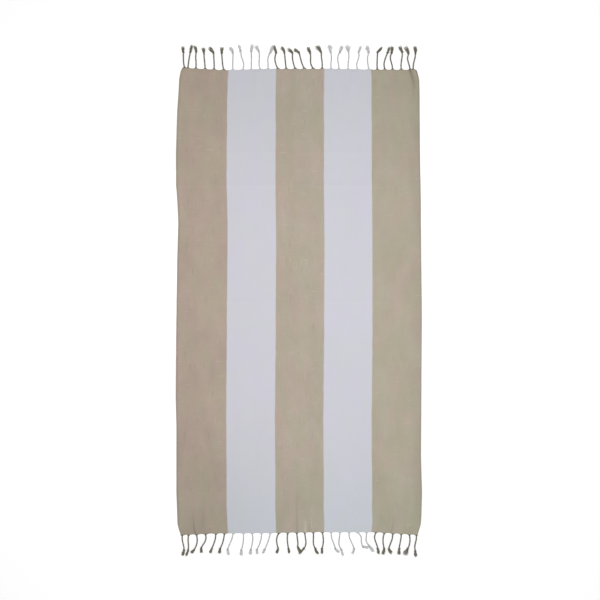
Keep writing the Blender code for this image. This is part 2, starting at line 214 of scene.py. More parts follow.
class PaintedGatherShade(NamedTuple):
    """A narrow line of painted shade where the cloth is gathered, creased or rolled near its ends,
    strongest at its first point and gone at its second.

    Its shade darkens the cloth; a negative shade is a painted highlight on the lit side of a fold.
    """

    x1: float
    y1: float
    x2: float
    y2: float
    half_width: float
    shade: float


# Painted shade in the gathers, creases and rolled edges near the ends; negative ones are painted
# highlights.
PAINTED_GATHER_SHADES = (
    PaintedGatherShade(-391, -852, -387, -785, 6.0, 0.36),
    PaintedGatherShade(-352, -852, -351, -740, 5.5, 0.08),
    PaintedGatherShade(-5, -852, -4, -660, 7.0, 0.18),
    PaintedGatherShade(25, -852, 26, -795, 6.0, -0.34),
    PaintedGatherShade(40, -852, 42, -770, 6.5, 0.10),
    PaintedGatherShade(346, -852, 350, -770, 6.0, 0.14),
    PaintedGatherShade(392, -852, 394, -810, 5.0, 0.05),
    PaintedGatherShade(-324, 852, -326, 770, 5.0, 0.05),
    PaintedGatherShade(423, 852, 435, 735, 9.0, 0.34),
    PaintedGatherShade(440, 852, 446, 760, 6.0, -0.10),
    PaintedGatherShade(448, 852, 450, 795, 4.5, 0.30),
)


class Curl(NamedTuple):
    """A stretch where a side edge lifts off the floor."""

    side: Side
    start: float
    end: float
    height: float
    reach: float


CURLS = (
    Curl(Side.RIGHT, 560, 850, 6.0, 42),
    Curl(Side.RIGHT, -110, 390, 5.0, 40),
    Curl(Side.RIGHT, -875, -290, 5.5, 42),
    Curl(Side.LEFT, 420, 700, 3.5, 28),
    Curl(Side.LEFT, -480, -40, 3.5, 28),
)


class Tassel(NamedTuple):
    """One tassel of the fringe.

    Root: place across the towel. Lean: how far the knot lies from the root. Reach: the knot's
    distance from the end. Flick: how far the tip lies from the knot. Tuft: length past the
    knot. Bow: bulge of the cord. Wave: bulge to the right near the root and as far to the left
    near the knot. Fan: how far the tuft spreads to each side.
    """

    root: float
    lean: float
    reach: float
    flick: float
    tuft: float
    bow: float
    wave: float
    fan: float


HEAD_TASSELS = (
    Tassel(-420, -4, 62, -2, 18, -1.5, -0.4, 3.2),
    Tassel(-407, 9, 62, 5, 24, -0.8, 0, 2.6),
    Tassel(-378, 2, 62, -5, 20, -0.8, 1.2, 2.9),
    Tassel(-344, -4, 59, -2, 16, -0.1, 0.4, 3.9),
    Tassel(-311, -1, 59, -15, 18, 0.4, 0.4, 4.2),
    Tassel(-276, -7, 59, 1, 18, -1.1, -0.3, 3.5),
    Tassel(-242, 1, 60, -10, 17, -0.6, -0.2, 4.2),
    Tassel(-205, -8, 65, -6, 20, 3.5, 2.6, 2.2),
    Tassel(-174, -1, 64, 4, 22, 1.1, -0.5, 3.1),
    Tassel(-142, -4, 65, -11, 18, -0.9, -1.6, 4.2),
    Tassel(-112, 8, 59, 9, 24, -5.3, 1.6, 3.9),
    Tassel(-77, -5, 59, -8, 24, -7.3, 0.5, 2.2),
    Tassel(-46, -6, 62, -10, 17, -0.4, 0, 3.5),
    Tassel(-13, -9, 60, -16, 12, -4.1, 0.1, 3.7),
    Tassel(20, -18, 60, -17, 11, -2.2, -0.3, 3.3),
    Tassel(53, -10, 59, -9, 18, -4.4, -1.9, 3.9),
    Tassel(86, -3, 62, -15, 21, 0.8, 0.9, 5.7),
    Tassel(119, -2, 62, -3, 24, 1.9, -1.5, 6.5),
    Tassel(148, 4, 62, 7, 20, -6.1, 1.9, 3.9),
    Tassel(182, 1, 64, -3, 20, 1, -1.1, 7.3),
    Tassel(216, 4, 62, 8, 19, -0.6, -3.4, 2.5),
    Tassel(258, 0, 60, -8, 22, -4.9, 0.7, 5),
    Tassel(289, 1, 62, 15, 15, -0.9, -0.3, 2.2),
    Tassel(317, 10, 59, 6, 19, -6.4, -0.9, 2.3),
    Tassel(345, -3, 59, 2, 20, -4.4, 2.4, 3.1),
    Tassel(377, 4, 62, -10, 20, -0.9, -1, 3.8),
    Tassel(410, -5, 57, -11, 22, -5.4, 1.6, 4.7),
    Tassel(421, 9, 59, -2, 21, -0.9, -1.1, 3.7),
)
FOOT_TASSELS = (
    Tassel(-428, 7, 66, -6, 16, -1.2, -1.2, 2.9),
    Tassel(-405, -1, 66, -7, 17, -0.5, -1, 2.2),
    Tassel(-376, -10, 65, -8, 9, 7.4, -0.3, 3.4),
    Tassel(-343, -17, 57, 3, 16, 7.7, 1, 2.8),
    Tassel(-305, -15, 60, -5, 14, 3.4, 0.3, 2.8),
    Tassel(-273, -17, 60, -1, 15, 3.6, -0.5, 3.8),
    Tassel(-241, -21, 63, 4, 17, 2.2, 0.6, 2.6),
    Tassel(-203, -8, 65, 0, 18, 3.4, -0.1, 3.7),
    Tassel(-171, -5, 63, -2, 16, 4.1, 0.6, 4.1),
    Tassel(-137, -17, 63, 2, 15, 4.9, 0.2, 2.6),
    Tassel(-105, -20, 63, -6, 12, 2.6, 0.4, 2.2),
    Tassel(-73, -2, 60, -6, 14, -7.2, -0.8, 2.7),
    Tassel(-40, 3, 61, 2, 13, -3, -0.3, 2.2),
    Tassel(-7, 3, 54, 11, 19, 1.5, -0.7, 3.3),
    Tassel(22, -3, 60, -15, 15, 5.9, -1.6, 2.2),
    Tassel(54, 7, 60, 8, 17, -3.8, 1.4, 2.6),
    Tassel(87, -2, 61, 1, 15, 4.7, -0.3, 2.2),
    Tassel(120, 15, 60, 12, 12, -2.7, -1.3, 2.5),
    Tassel(152, 5, 63, 5, 20, -6.6, 1.8, 2.2),
    Tassel(186, 18, 60, -6, 17, -3.6, -1.9, 2.2),
    Tassel(217, 19, 53, 18, 2, 4.2, 3.4, 2.2),
    Tassel(250, 10, 50, 14, 19, -7.1, 1.6, 3.6),
    Tassel(284, 7, 60, 3, 17, -6.1, -2.3, 2.8),
    Tassel(315, 0, 60, -5, 19, -5.2, -0.2, 3.6),
    Tassel(346, -16, 60, 11, 16, 2.7, 0.8, 3.7),
    Tassel(377, -8, 60, 0, 19, 0.8, 0.5, 3.7),
    Tassel(407, -6, 60, -10, 20, 4.7, -0.1, 6.9),
    Tassel(433, -4, 69, 1, 18, -2.1, 1.9, 3.3),
)
TASSELS = {End.HEAD: HEAD_TASSELS, End.FOOT: FOOT_TASSELS}


class Fleck(NamedTuple):
    """One kind of dark or pale place in the yarns, at full strength where the warp is sand.

    Across and along: how many of its noise's grains a metre holds. Shift: sets its noise apart.
    Low and high: where in the noise a fleck begins and is full. Weight: how much it lightens
    the cloth.
    """

    name: str
    across: float
    along: float
    shift: float
    low: float
    high: float
    weight: float


FLECKS = (
    Fleck("pale slub", 26, 190, 17, 0.24, 0.31, 0.12),
    Fleck("dark thread", 190, 20, 19, 0.23, 0.31, -0.10),
    Fleck("pale thread", 180, 24, 23, 0.24, 0.31, 0.09),
    Fleck("dark weft", 36, 300, 7, 0.10, 0.24, -0.022),
    Fleck("pale weft", 30, 280, 9, 0.12, 0.24, 0.018),
    Fleck("dark warp", 300, 34, 11, 0.12, 0.25, -0.03),
    Fleck("pale warp", 280, 30, 13, 0.12, 0.24, 0.02),
)
RAISED_FLECKS = ("dark weft", "pale weft", "pale warp")


def between(rows: Sequence[NamedTuple], key: str, value: float, column: str) -> float:
    """Read a column between the rows of a table, whose keys all rise or all fall.

    Args:
        rows: The table.
        key: Name of the column that the value is looked up in.
        value: Where to read, in the key's units.
        column: Name of the column to read.

    Returns:
        The column's value there, level past both ends of the table.
    """
    ordered = rows if getattr(rows[0], key) < getattr(rows[-1], key) else rows[::-1]
    below = ordered[0]
    for above in ordered:
        if getattr(above, key) >= value:
            break
        below = above
    span = getattr(above, key) - getattr(below, key)
    share = (value - getattr(below, key)) / span if span > 0 else 0.0
    share = min(max(share, 0.0), 1.0)
    return getattr(below, column) + share * (getattr(above, column) - getattr(below, column))


def smooth(share: float) -> float:
    """Ease a share that runs from 0 to 1, with no slope at either end."""
    share = min(max(share, 0.0), 1.0)
    return share * share * (3.0 - 2.0 * share)


def srgb(red: float, green: float, blue: float) -> Colour:
    """Turn screen values from 0 to 255 into a linear colour.

    Args:
        red: Red as a screen shows it.
        green: Green as a screen shows it.
        blue: Blue as a screen shows it.

    Returns:
        The linear red, green and blue.
    """
    def line(value: float) -> float:
        """One channel made linear."""
        value /= 255.0
        return value / 12.92 if value <= 0.04045 else ((value + 0.055) / 1.055) ** 2.4

    return line(red), line(green), line(blue)


def finish_object(
    name: str, bm: bmesh.types.BMesh, material: bpy.types.Material, sharp_degrees: float
) -> bpy.types.Object:
    """Make a bmesh an object at the origin and free the bmesh.

    Args:
        name: Name of the object and its mesh.
        bm: The shape, already in place.
        material: The finish of the whole piece.
        sharp_degrees: Edges that turn by more than this stay sharp.

    Returns:
        The linked object.
    """
    bmesh.ops.recalc_face_normals(bm, faces=bm.faces)
    mesh = bpy.data.meshes.new(name)
    bm.to_mesh(mesh)
    bm.free()
    mesh.shade_smooth()
    mesh.set_sharp_from_angle(angle=math.radians(sharp_degrees))
    mesh.materials.append(material)
    piece = bpy.data.objects.new(name, mesh)
    bpy.context.collection.objects.link(piece)
    return piece


def added_since(bm: bmesh.types.BMesh, count: int) -> list[bmesh.types.BMVert]:
    """The points that a bmesh has gained since it had a count of them.

    Args:
        bm: The bmesh, which has lost no point since then.
        count: How many points it had.

    Returns:
        The new points.
    """
    bm.verts.ensure_lookup_table()
    return bm.verts[count:]


class Graph:
    """Short calls for the nodes that a finish is made from."""

    SPECULAR = 0.25
    SHEEN_ROUGHNESS = 0.5
    SHIFT_SLANT = 1.7

    def __init__(self, name: str, roughness: float, sheen: float) -> None:
        """Start a material whose shader has one roughness and one sheen all over.

        Args:
            name: The material's name.
            roughness: Roughness of the shader.
            sheen: Weight of the shader's sheen.
        """
        self.material = bpy.data.materials.new(name)
        self.material.use_nodes = True
        self.tree = self.material.node_tree
        self.shader = self.tree.nodes["Principled BSDF"]
        self.shader.inputs["Roughness"].default_value = roughness
        self.shader.inputs["Specular IOR Level"].default_value = self.SPECULAR
        self.shader.inputs["Sheen Weight"].default_value = sheen
        self.shader.inputs["Sheen Roughness"].default_value = self.SHEEN_ROUGHNESS

    def plug(self, socket: Socket, value: Union[Value, Colour]) -> None:
        """Link a value into an input, or set it there if it is a number or a colour."""
        if isinstance(value, bpy.types.NodeSocket):
            self.tree.links.new(value, socket)
        elif isinstance(value, tuple) and len(socket.default_value) == 4:
            socket.default_value = (*value, 1.0)
        else:
            socket.default_value = value

    def attribute(self, name: str) -> Socket:
        """The vector that the mesh holds under a name."""
        node = self.tree.nodes.new("ShaderNodeAttribute")
        node.attribute_name = name
        return node.outputs["Vector"]

    def parts(self, vector: Socket) -> tuple[Socket, Socket, Socket]:
        """The three numbers of a vector."""
        node = self.tree.nodes.new("ShaderNodeSeparateXYZ")
        self.plug(node.inputs[0], vector)
        return node.outputs[0], node.outputs[1], node.outputs[2]

    def number(self, operation: str, first: Value, second: Value = 0.0) -> Socket:
        """One Math node.

        Args:
            operation: Name of the operation.
            first: The first number.
            second: The second number, unused by an operation on one.

        Returns:
            The node's result.
        """
        node = self.tree.nodes.new("ShaderNodeMath")
        node.operation = operation
        self.plug(node.inputs[0], first)
        self.plug(node.inputs[1], second)
        return node.outputs[0]

    def total(self, *values: Value) -> Socket:
        """The sum of two or more numbers."""
        result = values[0]
        for value in values[1:]:
            result = self.number("ADD", result, value)
        return result

    def stretched(self, vector: Socket, scale: Triple) -> Socket:
        """A vector with each of its numbers multiplied by its own factor."""
        node = self.tree.nodes.new("ShaderNodeVectorMath")
        node.operation = "MULTIPLY"
        self.plug(node.inputs[0], vector)
        node.inputs[1].default_value = scale
        return node.outputs[0]

    def noise(
        self, vector: Socket, scale: Triple, detail: float = 2.0, shift: float = 0.0
    ) -> Socket:
        """Even noise about zero, from about -0.5 to 0.5.

        Args:
            vector: The place that the noise is read at.
            scale: How many grains a metre holds along each axis.
            detail: How many finer layers are added.
            shift: Offset of the place, so that two noises differ.

        Returns:
            The noise.
        """
        node = self.tree.nodes.new("ShaderNodeTexNoise")
        node.inputs["Scale"].default_value = 1.0
        node.inputs["Detail"].default_value = detail
        moved = self.tree.nodes.new("ShaderNodeVectorMath")
        moved.operation = "ADD"
        self.plug(moved.inputs[0], self.stretched(vector, scale))
        moved.inputs[1].default_value = (shift, self.SHIFT_SLANT * shift, shift)
        self.plug(node.inputs["Vector"], moved.outputs[0])
        return self.number("SUBTRACT", node.outputs["Fac"], 0.5)

    def step(
        self, value: Value, low: float, high: float, start: float = 0.0, stop: float = 1.0
    ) -> Socket:
        """A soft step from one number to another.

        Args:
            value: What is stepped.
            low: Where the step begins.
            high: Where the step is done.
            start: The result before the step.
            stop: The result after the step.

        Returns:
            The stepped number.
        """
        node = self.tree.nodes.new("ShaderNodeMapRange")
        node.interpolation_type = "SMOOTHSTEP"
        for slot, item in zip(range(5), (value, low, high, start, stop)):
            self.plug(node.inputs[slot], item)
        return node.outputs[0]

    def mix(
        self, share: Value, first: Union[Socket, Colour], second: Union[Socket, Colour]
    ) -> Socket:
        """A blend of two colours.

        Args:
            share: The second colour's share.
            first: The first colour.
            second: The second colour.

        Returns:
            The blended colour.
        """
        node = self.tree.nodes.new("ShaderNodeMix")
        node.data_type = "RGBA"
        colours = [socket for socket in node.inputs if socket.type == "RGBA"]
        self.plug(node.inputs[0], share)
        self.plug(colours[0], first)
        self.plug(colours[1], second)
        return next(socket for socket in node.outputs if socket.type == "RGBA")

    def toned(self, colour: Socket, tone: Value) -> Socket:
        """A colour made lighter or darker by a factor."""
        node = self.tree.nodes.new("ShaderNodeVectorMath")
        node.operation = "SCALE"
        self.plug(node.inputs[0], colour)
        self.plug(node.inputs["Scale"], tone)
        return node.outputs[0]

    def colour(self, value: Socket) -> None:
        """Give the shader its base colour."""
        self.plug(self.shader.inputs["Base Color"], value)

    def relief(self, height: Socket, strength: float) -> None:
        """Give the shader a bump from a height in millimetres.

        Args:
            height: The height in millimetres.
            strength: How much of the bump is kept, from 0 to 1.
        """
        node = self.tree.nodes.new("ShaderNodeBump")
        node.inputs["Strength"].default_value = strength
        node.inputs["Distance"].default_value = MM
        self.plug(node.inputs["Height"], height)
        self.plug(self.shader.inputs["Normal"], node.outputs["Normal"])


@dataclass(frozen=True)
class StripedWeave:
    """Finish of the cloth: flat weave, slubby where the warp is sand and plain where white.

    The pattern is read at the place that each point had on the flat cut cloth, which the mesh
    holds as an attribute. A pair named across, along or from_middle says where on the flat cloth
    a tone begins and is done, in metres. A scale says how many grains a metre holds.
    """

    sand_left: Colour = srgb(170.6, 153.9, 141.6)
    sand_middle: Colour = srgb(177, 167, 153)
    sand_right: Colour = srgb(175, 167.3, 150.6)
    sand_warm: Colour = srgb(182, 160, 150)
    sand_olive: Colour = srgb(168, 163, 139)
    white_cloth: Colour = srgb(202, 200, 210)
    white_cool: Colour = srgb(201, 201, 207)
    right_white_tint: Triple = (1.010, 1.020, 1.024)
    end_tint: Triple = (0.985, 1.0, 0.985)
    foot_tint: Triple = (0.975, 1.008, 1.0)
    middle_sand_across: Pair = (-0.40, 0.10)
    right_sand_across: Pair = (0.08, 0.28)
    right_white_across: Pair = (0.0, 0.09)
    warm_scale: Triple = (15.0, 7.0, 1.0)
    olive_scale: Triple = (17.0, 6.0, 1.0)
    hue_band: Pair = (-0.12, 0.12)
    hue_share: float = 0.38
    end_tint_from_middle: Pair = (0.35, 0.80)
    foot_tint_along: Pair = (-0.82, -0.55)
    stripe_edges: tuple[float, ...] = (-0.2635, -0.0835, 0.0945, 0.271)
    edge_softness: float = 0.0024
    edge_wander: float = 0.0030
    wander_scale: Triple = (0.0, 16.0, 0.0)
    weave_pitch: float = 0.0017
    weave_height: float = 0.12
    lump_height: float = 0.12
    bump_strength: float = 0.5
    grain_scale: Triple = (230.0, 190.0, 1.0)
    patch_scale: Triple = (26.0, 13.0, 1.0)
    haze_scale: Triple = (7.0, 4.0, 1.0)
    sand_grain: float = 0.012
    sand_patch: float = 0.13
    sand_haze: float = 0.14
    white_grain: float = 0.004
    white_patch: float = 0.02
    white_haze: float = 0.03
    white_weft: float = -0.006
    calm_band: Pair = (0.10, 0.27)
    right_fleck_share: float = 0.78
    # Painted shade: a line along the rolled left selvedge, over the lifted right edge and its rim,
    # towards the head and foot ends, and in the left middle.
    left_shade: float = 0.13
    left_across: Pair = (-0.4470, -0.4400)
    right_shade: float = 0.07
    right_across: Pair = (0.395, 0.445)
    painted_rim_shade: float = 0.12
    rim_across: Pair = (0.4435, 0.4480)
    head_shade: Pair = (0.04, 0.10)
    head_across: Pair = (0.24, 0.34)
    head_along: Pair = (0.30, 0.92)
    foot_shade: Pair = (0.10, 0.01)
    foot_across: Pair = (-0.45, 0.0)
    foot_along: Pair = (-0.92, -0.30)
    painted_left_middle_shade: float = 0.03
    left_middle_across: Pair = (-0.40, -0.29)
    left_middle_start: Pair = (-0.46, -0.34)
    left_middle_end: Pair = (0.06, 0.20)
    hem_shade: float = 0.30
    hem_from_middle: Pair = (0.8490, 0.8518)

    def material(self) -> bpy.types.Material:
        """Build the finish.

        Returns:
            The material.
        """
        graph = Graph("striped_flat_weave", roughness=0.92, sheen=0.08)
        place = graph.attribute("place")
        across, along, _ = graph.parts(place)
        white = self.white_share(graph, place, across)
        sand_tone, white_tone, lumps = self.tones(graph, place, across)
        from_middle = graph.number("ABSOLUTE", along)
        hem = graph.step(from_middle, *self.hem_from_middle, 0.0, self.hem_shade)
        sand_tone = graph.number("SUBTRACT", sand_tone, hem)
        warm = graph.step(graph.noise(place, self.warm_scale, 1.0, 4.0), *self.hue_band)
        olive = graph.step(graph.noise(place, self.olive_scale, 1.0, 15.0), *self.hue_band)
        past_left = graph.step(across, *self.middle_sand_across)
        sand = graph.mix(past_left, self.sand_left, self.sand_middle)
        sand = graph.mix(graph.step(across, *self.right_sand_across), sand, self.sand_right)
        sand = graph.mix(graph.number("MULTIPLY", warm, self.hue_share), sand, self.sand_warm)
        sand = graph.mix(graph.number("MULTIPLY", olive, self.hue_share), sand, self.sand_olive)
        pale = graph.mix(warm, self.white_cloth, self.white_cool)
        to_right = graph.step(across, *self.right_white_across)
        pale = graph.mix(to_right, pale, graph.stretched(pale, self.right_white_tint))
        colour = graph.mix(white, graph.toned(sand, sand_tone), graph.toned(pale, white_tone))
        near_end = graph.step(from_middle, *self.end_tint_from_middle)
        colour = graph.mix(near_end, colour, graph.stretched(colour, self.end_tint))
        near_foot = graph.step(along, *self.foot_tint_along, 1.0, 0.0)
        colour = graph.mix(near_foot, colour, graph.stretched(colour, self.foot_tint))
        # Painted shade and highlights of the gathers, then painted shade along the edges and
        # towards the ends.
        colour = graph.toned(colour, self.painted_gather_shade_tone(graph, across, along))
        graph.colour(graph.toned(colour, self.painted_shade_tone(graph, across, along)))
        height = graph.total(self.weave(graph, across, along), lumps)
        graph.relief(height, self.bump_strength)
        return graph.material

    def white_share(self, graph: Graph, place: Socket, across: Socket) -> Socket:
        """Where the stripes are white.

        Args:
            graph: The material being built.
            place: Place on the flat cloth.
            across: Its number across the cloth.

        Returns:
            1 in a white stripe, 0 in a sand one.
        """
        wander = graph.noise(place, self.wander_scale, 1.0, 2.0)
        moved = graph.total(across, graph.number("MULTIPLY", wander, self.edge_wander))
        share: Value = 0.0
        for number, edge in enumerate(self.stripe_edges):
            rise = 1.0 if number % 2 == 0 else -1.0
            low, high = edge - self.edge_softness, edge + self.edge_softness
            share = graph.total(share, graph.step(moved, low, high, 0.0, rise))
        return share

    def tones(
        self, graph: Graph, place: Socket, across: Socket
    ) -> tuple[Socket, Socket, Socket]:
        """Uneven lightness of the two yarns, and the lumps of their thick places.

        Args:
            graph: The material being built.
            place: Place on the flat cloth.
            across: Its number across the cloth.

        Returns:
            The sand stripes' tone, the white stripes' tone and the lumps' height.
        """
        grain = graph.noise(place, self.grain_scale, 1.0, 1.0)
        patch = graph.noise(place, self.patch_scale, 1.0, 3.0)
        haze = graph.noise(place, self.haze_scale, 1.0, 5.0)
        shares = {}
        for fleck in FLECKS:
            noise = graph.noise(place, (fleck.across, fleck.along, 1.0), 0.0, fleck.shift)
            shares[fleck.name] = graph.step(noise, fleck.low, fleck.high)

        def weighed(*pairs: tuple[Socket, float]) -> Socket:
            """One plus each number times its weight."""
            terms = [graph.number("MULTIPLY", value, weight) for value, weight in pairs]
            return graph.total(1.0, *terms)

        weights = [(shares[fleck.name], fleck.weight) for fleck in FLECKS]
        flecks = weighed((grain, self.sand_grain), *weights)
        calmer = graph.step(across, *self.calm_band, 1.0, self.right_fleck_share)
        flecks = graph.number("MULTIPLY", graph.number("SUBTRACT", flecks, 1.0), calmer)
        sand = graph.total(weighed((patch, self.sand_patch), (haze, self.sand_haze)), flecks)
        white = weighed(
            (grain, self.white_grain), (patch, self.white_patch), (haze, self.white_haze),
            (shares["dark weft"], self.white_weft),
        )
        raised = graph.total(*(shares[name] for name in RAISED_FLECKS))
        return sand, white, graph.number("MULTIPLY", raised, self.lump_height)

    def painted_shade_tone(self, graph: Graph, across: Socket, along: Socket) -> Socket:
        """Painted shade along both selvedges, towards both ends and in the left middle.

        Args:
            graph: The material being built.
            across: Place across the flat cloth.
            along: Place along the flat cloth.

        Returns:
            The tone.
        """
        left = graph.step(across, *self.left_across, self.left_shade, 0.0)
        right = graph.step(across, *self.right_across, 0.0, self.right_shade)
        rim = graph.step(across, *self.rim_across, 0.0, self.painted_rim_shade)
        deepest = graph.step(across, *self.head_across, *self.head_shade)
        head = graph.step(along, *self.head_along, 0.0, deepest)
        deepest = graph.step(across, *self.foot_across, *self.foot_shade)
        foot = graph.step(along, *self.foot_along, deepest, 0.0)
        left_middle = graph.step(across, *self.left_middle_across, self.painted_left_middle_shade, 0.0)
        left_middle = graph.number("MULTIPLY", left_middle, graph.step(along, *self.left_middle_start))
        left_middle = graph.number("MULTIPLY", left_middle, graph.step(along, *self.left_middle_end, 1.0, 0.0))
        shades = graph.total(left, right, rim, head, foot, left_middle)
        return graph.number("SUBTRACT", 1.0, shades)

    def painted_gather_shade_tone(self, graph: Graph, across: Socket, along: Socket) -> Socket:
        """Painted shade, and painted highlights, along the narrow lines where the cloth is
        gathered at its ends.

        Args:
            graph: The material being built.
            across: Place across the flat cloth.
            along: Place along the flat cloth.

        Returns:
            The tone.
        """
        shades = []
        for gather_shade in PAINTED_GATHER_SHADES:
            low, high = sorted((gather_shade.y1, gather_shade.y2))
            start, stop = (1.0, 0.0) if low == gather_shade.y1 else (0.0, 1.0)
            share = graph.step(along, low * MM, high * MM, start, stop)
            lean = graph.number("MULTIPLY", share, (gather_shade.x2 - gather_shade.x1) * MM)
            line = graph.total(across, lean, -gather_shade.x2 * MM)
            line = graph.number("ABSOLUTE", line)
            shade = graph.step(line, 0.0, gather_shade.half_width * MM, gather_shade.shade, 0.0)
            shades.append(graph.number("MULTIPLY", shade, share))
        return graph.number("SUBTRACT", 1.0, graph.total(*shades))

    def weave(self, graph: Graph, across: Socket, along: Socket) -> Socket:
        """Height of the plain weave, over one and under one.

        Args:
            graph: The material being built.
            across: Place across the flat cloth.
            along: Place along the flat cloth.

        Returns:
            The height in millimetres.
        """
        waves = []
        for place in (across, along):
            phase = graph.number("MULTIPLY", place, TURN / self.weave_pitch)
            waves.append(graph.number("SINE", phase))
        crossing = graph.number("MULTIPLY", waves[0], waves[1])
        return graph.number("MULTIPLY", crossing, self.weave_height)


@dataclass(frozen=True)
class TwistedCotton:
    """Finish of the fringe's yarn: soft matt cotton with streaks along its fibres.

    The streaks are read at the attribute that each strand holds: where a point lies around
    its own strand, and how far along it.
    """

    name: str
    light: Colour
    dark: Colour
    streak_scale: Triple = (3.0, 3.0, 160.0)
    cloud_scale: Triple = (0.6, 0.6, 45.0)
    streak_band: Pair = (-0.22, 0.22)
    streak_height: float = 0.5
    bump_strength: float = 0.6

    def material(self) -> bpy.types.Material:
        """Build the finish.

        Returns:
            The material.
        """
        graph = Graph(self.name, roughness=0.9, sheen=0.12)
        fibre = graph.attribute("fibre")
        streaks = graph.noise(fibre, self.streak_scale, 2.0)
        cloud = graph.noise(fibre, self.cloud_scale, 1.0, 6.0)
        share = graph.step(graph.total(streaks, cloud), *self.streak_band)
        graph.colour(graph.mix(share, self.dark, self.light))
        height = graph.number("MULTIPLY", streaks, self.streak_height)
        graph.relief(height, self.bump_strength)
        return graph.material


YARN_FINISHES = {
    Yarn.SAND: TwistedCotton("sand_twist", srgb(126, 121, 102), srgb(105, 100, 84)),
    Yarn.WHITE: TwistedCotton("white_twist", srgb(212, 212, 213), srgb(200, 200, 201)),
}


@dataclass(frozen=True)
class Outline:
    """Where the towel's edges lie on the floor, and how its ends draw in between the roots."""

    width: float = 0.900
    length: float = 1.704
    draw_in_power: float = 2.2
    left_trim: float = 0.0015
    sand_scallop: float = 0.0026
    white_scallop: float = 0.0010
    tassel_pitch: float = 0.032
    widest_gap: float = 1.2
    root_half_width: float = 0.0030

    @property
    def half_width(self) -> float:
        """Half the towel's width."""
        return self.width / 2.0

    @property
    def half_length(self) -> float:
        """Half the cloth's length, without its fringe."""
        return self.length / 2.0

    def side_out(self, along: float, side: Side) -> float:
        """How far a side edge wanders outward at a place along the towel."""
        out = between(SIDE_STATIONS, "along", along / MM, side.name.lower() + "_out") * MM
        return out - (self.left_trim if side is Side.LEFT else 0.0)

    def side_x(self, along: float, side: Side) -> float:
        """Where a side edge lies at a place along the towel."""
        return side.value * (self.half_width + self.side_out(along, side))

    def end_y(self, across: float, end: End) -> float:
        """How far from the middle an end lies, at a place across the towel."""
        out = between(END_STATIONS, "across", across / MM, end.name.lower() + "_out")
        return self.half_length + out * MM

    def scallop(self, across: float, end: End) -> float:
        """How far the cloth's end draws in, which is nothing at the roots of the tassels.

        Args:
            across: Place across the towel.
            end: Which end.

        Returns:
            The distance that the edge draws in.
        """
        roots = [tassel.root * MM for tassel in TASSELS[end]]
        below = max((root for root in roots if root <= across), default=None)
        above = min((root for root in roots if root > across), default=None)
        white = any(
            stripe.left < across / MM < stripe.right
            for stripe in STRIPES if stripe.yarn is Yarn.WHITE
        )
        depth = self.white_scallop if white else self.sand_scallop
        if below is None or above is None:
            return depth / 2.0
        gap = above - below - 2.0 * self.root_half_width
        if gap <= 0.0:
            return 0.0
        share = (across - below - self.root_half_width) / gap
        if not 0.0 < share < 1.0:
            return 0.0
        return depth * min(gap / self.tassel_pitch, self.widest_gap) * math.sin(math.pi * share)

    def drawn_x(self, across: float, along: float) -> float:
        """Where a place across the flat cloth lies, with the sides drawn in or let out."""
        side = Side.RIGHT if across > 0.0 else Side.LEFT
        share = (abs(across) / self.half_width) ** self.draw_in_power
        sway = between(SWAY_STATIONS, "along", along / MM, "aside") * MM * (1.0 - share)
        return across + sway + side.value * self.side_out(along, side) * share


